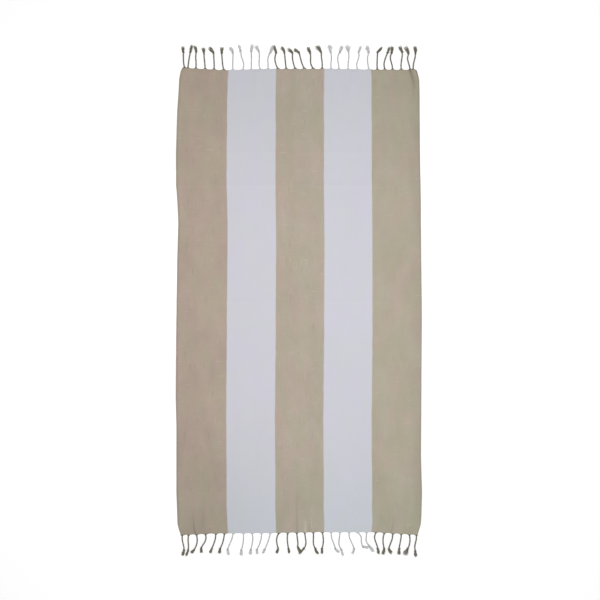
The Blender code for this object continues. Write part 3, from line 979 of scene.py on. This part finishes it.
@dataclass(frozen=True)
class Relief:
    """Height of the laid cloth over the floor: its folds, gathers, curls and crumples.

    Heights are in millimetres, lengths in metres. The cloth lies lowest at its very ends.
    """

    outline: Outline
    pressed: float = 0.6
    end_fade: float = 0.012
    end_height: float = 0.25
    swell: float = 0.9
    swell_scale: Pair = (10.0, 8.0)
    swell_layer: float = 3.1
    swell_noise: float = 0.6
    crumple: float = 0.30
    crumple_scale: Pair = (44.0, 38.0)
    crumple_layer: float = 8.7
    root_ridge: float = 1.0
    root_ridge_half_width: float = 0.007
    root_ridge_length: float = 0.030
    selvedge_bead: float = 0.5
    selvedge_width: float = 0.005

    def folds(self, x: float, y: float) -> float:
        """Height of the creases, gathers and curls, as on the solid beneath.

        Args:
            x: Place across the floor.
            y: Place along the floor.

        Returns:
            The height in millimetres.
        """
        heights = [0.0]
        for ridge in RIDGES:
            run_x, run_y = ridge.x2 - ridge.x1, ridge.y2 - ridge.y1
            off_x, off_y = x / MM - ridge.x1, y / MM - ridge.y1
            run = math.hypot(run_x, run_y)
            along = (off_x * run_x + off_y * run_y) / run ** 2
            aside = abs(off_x * run_y - off_y * run_x) / run / ridge.half_width
            if not (0.0 < along < 1.0 and aside < 1.0):
                continue
            if ridge.spans:
                heights.append(ridge.height * self.pressed * (1.0 - aside) ** 2)
            else:
                soft = math.cos(aside * math.pi / 2.0) ** 2
                heights.append(ridge.height * math.sin(math.pi * along) * soft)
        for curl in CURLS:
            inset = abs(self.outline.side_x(y, curl.side) - x) / MM / curl.reach
            along = (y / MM - curl.start) / (curl.end - curl.start)
            if inset < 1.0 and 0.0 < along < 1.0:
                lift = curl.height * math.sin(math.pi * along)
                heights.append(lift * (1.0 - inset) ** 2)
        return max(heights)

    def roots(self, x: float, inside: float, end: End) -> float:
        """Height of the short ridges that run into the cloth from the tassels' roots.

        Args:
            x: Place across the floor.
            inside: Distance from the cloth's end.
            end: Which end.

        Returns:
            The height in millimetres.
        """
        fade = 1.0 - smooth(inside / self.root_ridge_length)
        if fade <= 0.0:
            return 0.0
        nearest = min(abs(tassel.root * MM - x) for tassel in TASSELS[end])
        return self.root_ridge * fade * math.exp(-((nearest / self.root_ridge_half_width) ** 2))

    def height(self, x: float, y: float, edge_distance: float) -> float:
        """Height of the cloth's underside over the floor.

        Args:
            x: Place across the floor.
            y: Place along the floor.
            edge_distance: Distance from the nearest selvedge.

        Returns:
            The height in metres.
        """
        end = End.HEAD if y > 0.0 else End.FOOT
        inside = self.outline.end_y(x, end) - abs(y)
        place = Vector((x * self.swell_scale[0], y * self.swell_scale[1], self.swell_layer))
        swell = self.swell * (0.5 + self.swell_noise * soft_noise(place))
        place = Vector((x * self.crumple_scale[0], y * self.crumple_scale[1], self.crumple_layer))
        crumple = self.crumple * (0.5 + soft_noise(place))
        bead = self.selvedge_bead * (1.0 - smooth(edge_distance / self.selvedge_width))
        settled = smooth(inside / self.end_fade)
        raised = (self.folds(x, y) + swell) * (self.end_height + (1.0 - self.end_height) * settled)
        total = raised + crumple + bead + self.roots(x, inside, end)
        return max(total, 0.0) * MM


@dataclass
class Cloth:
    """The striped sheet, from its head end to its foot end and selvedge to selvedge.

    Its columns are doubled within the fine band at each end, where the scallops are.
    """

    outline: Outline
    relief: Relief
    thickness: float = 0.0011
    column_step: float = 0.0058
    row_step: float = 0.0078
    end_rows: tuple[float, ...] = (0.0015, 0.004, 0.008, 0.013, 0.019, 0.026)
    side_columns: tuple[float, ...] = (0.0015, 0.0035, 0.0065, 0.011)
    fold_lines: tuple[float, ...] = (-0.0030, 0.0, 0.0030)
    end_band: float = 0.115
    scallop_power: int = 6
    fine_band: float = 0.013

    def lines(self, half: float, kept: Sequence[float], step: float) -> list[float]:
        """Places from one edge of the flat cloth to the other.

        Args:
            half: Half the size of the cloth that way.
            kept: Places that get a line of their own.
            step: The widest step between two lines.

        Returns:
            The places, rising.
        """
        stops = sorted({-half, half, *(place for place in kept if -half < place < half)})
        lines = [-half]
        for low, high in zip(stops, stops[1:]):
            count = max(1, math.ceil((high - low) / step - 1e-6))
            lines += [low + (high - low) * k / count for k in range(1, count + 1)]
        return lines

    def columns(self) -> list[float]:
        """Columns of the sheet, with its fold along the middle and its selvedges.

        Returns:
            The places across the flat cloth.
        """
        half = self.outline.half_width
        kept = [side * (half - inset) for inset in self.side_columns for side in (-1.0, 1.0)]
        for ridge in RIDGES:
            if ridge.spans and ridge.x1 == ridge.x2:
                kept += [ridge.x1 * MM + offset for offset in self.fold_lines]
        return self.lines(half, kept, self.column_step)

    def rows(self) -> list[float]:
        """Rows of the sheet, with its folds across and its scalloped ends.

        Returns:
            The places along the flat cloth.
        """
        half = self.outline.half_length
        kept = [end * (half - inset) for inset in self.end_rows for end in (-1.0, 1.0)]
        for ridge in RIDGES:
            if ridge.spans and ridge.y1 == ridge.y2:
                kept += [ridge.y1 * MM + offset for offset in self.fold_lines]
        return self.lines(half, kept, self.row_step)

    def laid(self, across: float, along: float) -> Vector:
        """Point on the sheet's underside for a place on the flat cloth.

        Args:
            across: Place across the flat cloth.
            along: Place along the flat cloth.

        Returns:
            The point in the towel's frame.
        """
        end = End.HEAD if along > 0.0 else End.FOOT
        inside = self.outline.half_length - self.end_band
        share = max(0.0, (abs(along) - inside) / self.end_band)
        y = along
        x = self.outline.drawn_x(across, along)
        if share > 0.0:
            edge = self.outline.end_y(x, end)
            drawn_in = self.outline.scallop(x, end) * share ** self.scallop_power
            y = end.value * (inside + share * (edge - inside) - drawn_in)
            x = self.outline.drawn_x(across, y)
        edge_distance = self.outline.half_width - abs(across)
        return Vector((x, y, self.relief.height(x, y, edge_distance)))

    def build(self, material: bpy.types.Material) -> bpy.types.Object:
        """Model the sheet and dress it.

        Args:
            material: The cloth's finish.

        Returns:
            The cloth.
        """
        columns, rows = self.columns(), self.rows()
        bm = bmesh.new()
        place = bm.verts.layers.float_vector.new("place")
        bmesh.ops.create_grid(bm, x_segments=len(columns) - 1, y_segments=len(rows) - 1, size=0.5)
        for vert in bm.verts:
            column = round((vert.co.x + 0.5) * (len(columns) - 1))
            row = round((vert.co.y + 0.5) * (len(rows) - 1))
            vert.co = Vector((columns[column], rows[row], 0.0))
        border = self.outline.half_length - self.fine_band
        end_edges = [
            edge for edge in bm.edges
            if abs(edge.verts[0].co.y - edge.verts[1].co.y) < HAIR
            and abs(edge.verts[0].co.y) > border - HAIR
        ]
        bmesh.ops.subdivide_edges(bm, edges=end_edges, cuts=1, use_grid_fill=True)
        for vert in bm.verts:
            vert[place] = vert.co
            vert.co = self.laid(vert.co.x, vert.co.y)
        under = list(bm.faces)
        grown = bmesh.ops.extrude_face_region(bm, geom=under, use_keep_orig=True)["geom"]
        upper = [item for item in grown if isinstance(item, bmesh.types.BMVert)]
        bmesh.ops.translate(bm, verts=upper, vec=(0.0, 0.0, self.thickness))
        return finish_object("towel_cloth", bm, material, sharp_degrees=50.0)


class Route:
    """A tassel's middle line over the floor, in places a step apart."""

    STEP = 0.001
    LEAD = 0.008
    SMOOTHING = 5

    def __init__(self, tassel: Tassel, end: End, outline: Outline) -> None:
        """Lay the route from inside the cloth to past the tip of the tuft.

        Args:
            tassel: The tassel's row.
            end: The end that it hangs from.
            outline: The towel's edges.
        """
        root_x = tassel.root * MM
        knot_x = root_x + tassel.lean * MM
        root = Vector((root_x, end.value * outline.end_y(root_x, end), 0.0))
        knot = Vector((knot_x, end.value * (outline.half_length + tassel.reach * MM), 0.0))
        run = knot - root
        self.cord_length = run.length
        tuft = Vector((tassel.flick, end.value * tassel.tuft, 0.0)) * MM
        self.tuft_length = tuft.length
        places = []
        count = round((self.LEAD + self.cord_length + self.tuft_length + self.LEAD) / self.STEP)
        for number in range(count + 1):
            along = number * self.STEP - self.LEAD
            if along <= self.cord_length:
                share = along / self.cord_length
                out = max(share, 0.0)
                bulge = 4.0 * tassel.bow * out * (1.0 - out) + tassel.wave * math.sin(TURN * out)
                places.append(root + run * share + Vector((bulge * MM, 0.0, 0.0)))
            else:
                past = along - self.cord_length
                places.append(knot + tuft.normalized() * past)
        self.places = [self.averaged(places, number) for number in range(len(places))]

    def averaged(self, places: Sequence[Vector], number: int) -> Vector:
        """A place evened out with its neighbours on both sides.

        Args:
            places: The route before it is evened out.
            number: Which place.

        Returns:
            The mean of the place and its neighbours.
        """
        reach = min(self.SMOOTHING, number, len(places) - 1 - number)
        near = places[number - reach:number + reach + 1]
        return sum(near, Vector()) / len(near)

    def at(self, along: float) -> tuple[Vector, Vector]:
        """The place and the level heading at a distance from the root.

        Args:
            along: Distance along the route, negative inside the cloth.

        Returns:
            The place on the floor and the heading there.
        """
        exact = (along + self.LEAD) / self.STEP
        number = min(max(int(exact), 1), len(self.places) - 3)
        before, here, after, beyond = self.places[number - 1:number + 3]
        share = exact - number
        heading = (after - before).lerp(beyond - here, min(max(share, 0.0), 1.0))
        return here + (after - here) * share, heading.normalized()


class HeightStation(NamedTuple):
    """Height of a tassel's middle line over the floor at a distance from its root."""

    along: float
    height: float


@dataclass
class TasselMaker:
    """One tassel: warp drawn together, a cord of two plies, an overhand knot and a tuft.

    It is modelled straight along +Y, its root at the origin, and then laid along its route.
    """

    tassel: Tassel
    route: Route
    chance: random.Random
    lowest: float = 0.00005
    ply_radius: float = 0.00150
    ply_reach: float = 0.93
    ply_sides: int = 7
    twist_pitch: float = 0.0096
    twist_steps: int = 8
    warp_threads: int = 10
    warp_reach: float = 0.0085
    warp_inset: float = 0.0030
    warp_length: float = 0.0085
    warp_radius: float = 0.00048
    warp_growth: float = 1.6
    warp_closing: float = 1.7
    warp_jitter: Pair = (0.9, 1.1)
    warp_lift: Pair = (-0.0003, 0.0004)
    cord_start: float = 0.0045
    cord_in_knot: float = 0.002
    knot_wrap_radius: float = 0.0018
    knot_wrap_reach: float = 0.0030
    knot_wrap_pitch: float = 0.0032
    knot_wraps: float = 2.0
    knot_tilt: float = math.radians(14)
    knot_flatness: float = 0.88
    crossing_thinness: float = 0.9
    crossing_out: float = 0.0009
    crossing_past: float = 0.001
    crossing_turn: Pair = (2.0, 4.0)
    tuft_yarns: int = 19
    tuft_yarn_radius: float = 0.00068
    tuft_neck: float = 0.0022
    tuft_margin: float = 0.0016
    tuft_in_knot: float = 0.001
    tuft_place: Pair = (0.2, 0.8)
    tuft_longest: float = 1.18
    tuft_rounding: float = 0.14
    tuft_uneven: float = 0.32
    tuft_neck_height: float = 0.0016
    tuft_tip_height: float = 0.0010
    tuft_wave: float = 0.0011
    tuft_wave_turns: float = 0.75
    tuft_opening: float = 1.9
    tuft_jitter: Pair = (0.85, 1.15)
    tuft_taper: float = 0.7
    stray_every: int = 4
    stray_length: float = 0.12
    stray_spread: float = 1.35

    def build(self) -> bpy.types.Mesh:
        """Model the tassel and lay it in place.

        Returns:
            The tassel's mesh, with a vector layer for the fibres.
        """
        bm = bmesh.new()
        bm.verts.layers.float_vector.new("fibre")
        self.add_warp(bm)
        self.add_cord(bm)
        self.add_knot(bm)
        self.add_tuft(bm)
        for vert in bm.verts:
            vert.co = self.laid(vert.co)
        mesh = bpy.data.meshes.new("tassel")
        bm.to_mesh(mesh)
        bm.free()
        return mesh

    def axis_height(self, along: float) -> float:
        """Height of the tassel's middle line over the floor at a distance from the root."""
        knot = self.route.cord_length
        tip = knot + self.route.tuft_length
        stations = (
            HeightStation(-self.route.LEAD, 0.0011),
            HeightStation(0.0, 0.0013),
            HeightStation(0.008, 0.0029),
            HeightStation(knot - 0.007, 0.0030),
            HeightStation(knot, 0.0039),
            HeightStation(knot + 0.006, 0.0033),
            HeightStation(tip, 0.0019),
        )
        below = stations[0]
        for above in stations[1:]:
            if along <= above.along:
                break
            below = above
        share = smooth((along - below.along) / max(above.along - below.along, HAIR))
        return below.height + (above.height - below.height) * share

    def laid(self, point: Vector) -> Vector:
        """Where a point of the straight tassel lies once it is laid along its route.

        Args:
            point: Aside, along and above the tassel's straight middle line.

        Returns:
            The point in the towel's frame.
        """
        place, heading = self.route.at(point.y)
        aside = Vector((heading.y, -heading.x, 0.0))
        z = max(self.axis_height(point.y) + point.z, self.lowest)
        return Vector((place.x, place.y, 0.0)) + aside * point.x + Vector((0.0, 0.0, z))

    def note_fibres(
        self,
        bm: bmesh.types.BMesh,
        verts: Sequence[bmesh.types.BMVert],
        middle: Callable[[float], Vector],
        radius: float,
    ) -> None:
        """Note on each point of a strand where it lies around the strand and along it.

        Args:
            bm: The tassel's bmesh.
            verts: The strand's points.
            middle: The strand's middle for a distance along the tassel.
            radius: The strand's radius.
        """
        layer = bm.verts.layers.float_vector["fibre"]
        shift = self.chance.uniform(0.0, 9.0)
        for vert in verts:
            around = (vert.co - middle(vert.co.y)) / radius
            vert[layer] = Vector((around.x + shift, around.z, vert.co.y + shift))

    def add_coil(
        self,
        bm: bmesh.types.BMesh,
        radius: float,
        reach: float,
        start: float,
        stop: float,
        pitch: float,
        phase: float,
    ) -> None:
        """Add a round strand that winds about the tassel's middle line.

        Args:
            bm: The tassel's bmesh.
            radius: The strand's radius.
            reach: Distance of the strand's middle from the middle line.
            start: Where it begins along the tassel.
            stop: Where it ends along the tassel.
            pitch: Length of one turn.
            phase: Angle of its beginning about the middle line.
        """
        count = len(bm.verts)
        steps = max(2, math.ceil(self.twist_steps * (stop - start) / pitch))
        upright = Matrix.Rotation(math.radians(90), 4, "X")
        aside = Matrix.Translation((reach, start, 0.0))
        turned = Matrix.Rotation(phase, 4, "Y")
        ring = bmesh.ops.create_circle(
            bm, segments=self.ply_sides, radius=radius, matrix=turned @ aside @ upright
        )["verts"]
        rim = {edge for vert in ring for edge in vert.link_edges}
        bmesh.ops.spin(
            bm, geom=[*ring, *rim], cent=(0.0, 0.0, 0.0), axis=(0.0, 1.0, 0.0),
            dvec=(0.0, (stop - start) / steps, 0.0), angle=TURN * (stop - start) / pitch,
            steps=steps, use_merge=False,
        )
        verts = added_since(bm, count)
        rims = {edge for vert in verts for edge in vert.link_edges if edge.is_boundary}
        bmesh.ops.holes_fill(bm, edges=list(rims), sides=self.ply_sides)

        def middle(along: float) -> Vector:
            """The strand's middle at a distance along the tassel."""
            angle = phase + TURN * (along - start) / pitch
            offset = Matrix.Rotation(angle, 3, "Y") @ Vector((reach, 0.0, 0.0))
            return offset + Vector((0.0, along, 0.0))

        self.note_fibres(bm, verts, middle, radius)

    def add_thread(
        self,
        bm: bmesh.types.BMesh,
        radii: tuple[float, float],
        start: float,
        stop: float,
        middle: Callable[[float], Vector],
        sides: int = 5,
        cuts: int = 4,
    ) -> None:
        """Add a thread that tapers along a free line.

        Args:
            bm: The tassel's bmesh.
            radii: Its radius at the beginning and at the end.
            start: Where it begins along the tassel.
            stop: Where it ends along the tassel.
            middle: Offset of its middle from the tassel's, for a share of its length.
            sides: Faces around it.
            cuts: Rings between its ends.
        """
        length = stop - start
        count = len(bm.verts)
        upright = Matrix.Rotation(math.radians(-90), 4, "X")
        centre = Matrix.Translation((0.0, (start + stop) / 2.0, 0.0))
        ring = bmesh.ops.create_cone(
            bm, cap_ends=True, segments=sides, radius1=radii[0], radius2=radii[1],
            depth=length, matrix=centre @ upright,
        )["verts"]
        long_edges = {
            edge for vert in ring for edge in vert.link_edges
            if abs(edge.verts[0].co.y - edge.verts[1].co.y) > length / 2.0
        }
        bmesh.ops.subdivide_edges(bm, edges=list(long_edges), cuts=cuts, use_grid_fill=True)
        verts = added_since(bm, count)
        self.note_fibres(bm, verts, lambda along: Vector((0.0, along, 0.0)), radii[0])
        for vert in verts:
            vert.co += middle(min(max((vert.co.y - start) / length, 0.0), 1.0))

    def add_warp(self, bm: bmesh.types.BMesh) -> None:
        """Add the warp threads, drawn together from the cloth's edge into the cord."""
        for number in range(self.warp_threads):
            share = 2.0 * (number + 0.5) / self.warp_threads - 1.0
            aside = share * self.warp_reach * self.chance.uniform(*self.warp_jitter)
            inset = self.warp_inset * (0.5 + 0.5 * abs(share))
            lift = self.chance.uniform(*self.warp_lift)

            def middle(part: float, aside: float = aside, lift: float = lift) -> Vector:
                """The thread's offset, closing fast on the cord."""
                left = 1.0 - part
                return Vector((aside * left ** self.warp_closing, 0.0, lift * left))

            radii = (self.warp_radius, self.warp_radius * self.warp_growth)
            self.add_thread(bm, radii, -inset, self.warp_length, middle, sides=4, cuts=3)

    def add_cord(self, bm: bmesh.types.BMesh) -> None:
        """Add the two plies of the twisted cord."""
        phase = self.chance.uniform(0.0, TURN)
        reach = self.ply_radius * self.ply_reach
        stop = self.route.cord_length + self.cord_in_knot
        for half in (0.0, math.pi):
            self.add_coil(
                bm, self.ply_radius, reach, self.cord_start, stop, self.twist_pitch, phase + half
            )

    def add_knot(self, bm: bmesh.types.BMesh) -> None:
        """Add the overhand knot: wraps about the cord, and a ply that crosses over them."""
        middle = self.route.cord_length
        half = self.knot_wraps * self.knot_wrap_pitch / 2.0
        past = half + self.crossing_past
        phase = self.chance.uniform(0.0, TURN)
        count = len(bm.verts)
        self.add_coil(
            bm, self.knot_wrap_radius, self.knot_wrap_reach, middle - half, middle + half,
            self.knot_wrap_pitch, phase,
        )
        self.add_coil(
            bm, self.ply_radius * self.crossing_thinness, self.knot_wrap_reach + self.crossing_out,
            middle - past, middle + past, 6.0 * half,
            phase + self.chance.uniform(*self.crossing_turn),
        )
        tilt = self.knot_tilt * self.chance.choice((-1.0, 1.0))
        turn = Euler((0.0, 0.0, tilt)).to_matrix()
        centre = Vector((0.0, middle, 0.0))
        verts = added_since(bm, count)
        bmesh.ops.rotate(bm, verts=verts, cent=centre, matrix=turn)
        bmesh.ops.scale(bm, verts=verts, vec=(1.0, 1.0, self.knot_flatness))

    def add_tuft(self, bm: bmesh.types.BMesh) -> None:
        """Add the loose yarns past the knot, fanned and flattened on the floor."""
        start = self.route.cord_length + self.tuft_in_knot
        reach = self.tassel.fan * MM + self.tuft_margin
        for number in range(self.tuft_yarns):
            spread = 2.0 * (number + self.chance.uniform(*self.tuft_place)) / self.tuft_yarns - 1.0
            shorter = self.tuft_rounding * spread ** 2 + self.chance.uniform(0.0, self.tuft_uneven)
            if number % self.stray_every == 1:
                shorter -= self.stray_length
                spread *= self.stray_spread
            length = self.route.tuft_length * (self.tuft_longest - shorter)
            height = self.chance.uniform(-1.0, 1.0) * self.tuft_neck_height
            near = Vector((spread * self.tuft_neck, 0.0, height))
            height = self.chance.uniform(-self.tuft_tip_height, self.tuft_tip_height)
            far = Vector((spread * reach, 0.0, height))
            wave = self.chance.uniform(-self.tuft_wave, self.tuft_wave)

            def middle(
                part: float, near: Vector = near, far: Vector = far, wave: float = wave
            ) -> Vector:
                """The yarn's offset, opening out from the knot with a slight wave."""
                bend = wave * math.sin(TURN * self.tuft_wave_turns * part)
                opened = near.lerp(far, math.sin(self.tuft_opening * part))
                return opened + Vector((bend, 0.0, 0.0))

            radius = self.tuft_yarn_radius * self.chance.uniform(*self.tuft_jitter)
            radii = (radius, radius * self.tuft_taper)
            self.add_thread(bm, radii, start, start + length, middle)


@dataclass
class Fringe:
    """The tassels of one stripe at one end, joined as one piece."""

    outline: Outline
    end: End
    stripe: Stripe
    tassels: Sequence[Tassel]
    first: int
    seed_step: int = 1000

    def build(self, material: bpy.types.Material) -> bpy.types.Object:
        """Model the tassels and dress them.

        Args:
            material: The yarn's finish.

        Returns:
            The fringe of one stripe.
        """
        bm = bmesh.new()
        bm.verts.layers.float_vector.new("fibre")
        for number, tassel in enumerate(self.tassels, self.first):
            chance = random.Random(self.seed_step * (self.end.value + 2) + number)
            route = Route(tassel, self.end, self.outline)
            mesh = TasselMaker(tassel, route, chance).build()
            bm.from_mesh(mesh)
            bpy.data.meshes.remove(mesh)
        name = f"fringe_{self.end.name.lower()}_{self.stripe.name}_tassels"
        return finish_object(name, bm, material, sharp_degrees=60.0)


@dataclass(frozen=True)
class Studio:
    """Plain white floor, a soft lamp above, a faint low light and the camera above."""

    floor_radius: float = 30.0
    floor_colour: Colour = (0.90, 0.90, 0.90)
    floor_glow: float = 0.25
    sky: float = 0.50
    lamp_place: Triple = (0.08, 0.06, 2.3)
    lamp_size: float = 0.9
    lamp_power: float = 25.0
    low_light_from: Triple = (0.35, -0.60, 1.0)
    low_light_strength: float = 0.46
    low_light_spread: float = math.radians(20)
    camera_place: Triple = (0.0048, 0.0028, 6.13)
    camera_lens: float = 100.0

    def build(self) -> None:
        """Make the floor, the lights, the sky and the camera."""
        self.build_floor()
        lamp = self.light("soft_lamp", "AREA", self.lamp_place, self.lamp_power)
        lamp.data.size = self.lamp_size
        low_light = self.light("low_light", "SUN", self.low_light_from, self.low_light_strength)
        low_light.data.angle = self.low_light_spread
        self.build_sky()
        self.build_camera()
        settings = bpy.context.scene.view_settings
        settings.view_transform = "Standard"
        settings.look = "None"

    def build_floor(self) -> None:
        """Make the floor."""
        bm = bmesh.new()
        bmesh.ops.create_circle(bm, cap_ends=True, segments=96, radius=self.floor_radius)
        graph = Graph("white_paper", roughness=0.95, sheen=0.0)
        graph.plug(graph.shader.inputs["Base Color"], self.floor_colour)
        graph.plug(graph.shader.inputs["Emission Color"], self.floor_colour)
        graph.shader.inputs["Emission Strength"].default_value = self.floor_glow
        finish_object("floor", bm, graph.material, sharp_degrees=30.0)

    def light(self, name: str, kind: str, place: Triple, energy: float) -> bpy.types.Object:
        """Make a light that shines at the middle of the towel.

        Args:
            name: The light's name.
            kind: Its kind, as Blender calls it.
            place: Where it stands.
            energy: Its power, or its strength if it is a sun.

        Returns:
            The light.
        """
        light = bpy.data.objects.new(name, bpy.data.lights.new(name, kind))
        light.data.energy = energy
        light.location = place
        light.rotation_euler = (-Vector(place)).to_track_quat("-Z", "Y").to_euler()
        light.visible_camera = False
        bpy.context.collection.objects.link(light)
        return light

    def build_sky(self) -> None:
        """Make the even sky, which lights the towel from all sides."""
        world = bpy.data.worlds.new("even_sky")
        world.use_nodes = True
        sky = world.node_tree.nodes["Background"]
        sky.inputs["Color"].default_value = (1.0, 1.0, 1.0, 1.0)
        sky.inputs["Strength"].default_value = self.sky
        bpy.context.scene.world = world

    def build_camera(self) -> None:
        """Make the camera, straight above the towel."""
        lens = bpy.data.cameras.new("camera")
        lens.lens = self.camera_lens
        camera = bpy.data.objects.new("camera", lens)
        camera.location = self.camera_place
        bpy.context.collection.objects.link(camera)
        bpy.context.scene.camera = camera


def report(piece: bpy.types.Object, words: Optional[str] = None) -> None:
    """Log a finished piece with its count of faces."""
    LOG.info("%s: %d faces%s", piece.name, len(piece.data.polygons), f", {words}" if words else "")


def main() -> None:
    """Build the stage, the fringes and the cloth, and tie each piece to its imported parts."""
    logging.basicConfig(level=logging.INFO, format="%(name)s: %(message)s")
    Studio().build()
    outline = Outline()
    yarns = {yarn: finish.material() for yarn, finish in YARN_FINISHES.items()}
    for end, tassels in TASSELS.items():
        first = 0
        for stripe in STRIPES:
            own = tassels[first:first + stripe.tassels]
            fringe = Fringe(outline, end, stripe, own, first).build(yarns[stripe.yarn])
            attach(fringe, "root")
            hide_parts(f"fringe_{end.name.lower()}_{stripe.name}")
            report(fringe, f"{stripe.tassels} tassels")
            first += stripe.tassels
    cloth = Cloth(outline, Relief(outline)).build(StripedWeave().material())
    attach(cloth, "root")
    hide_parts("cloth")
    report(cloth)


if __name__ == "__main__":
    main()
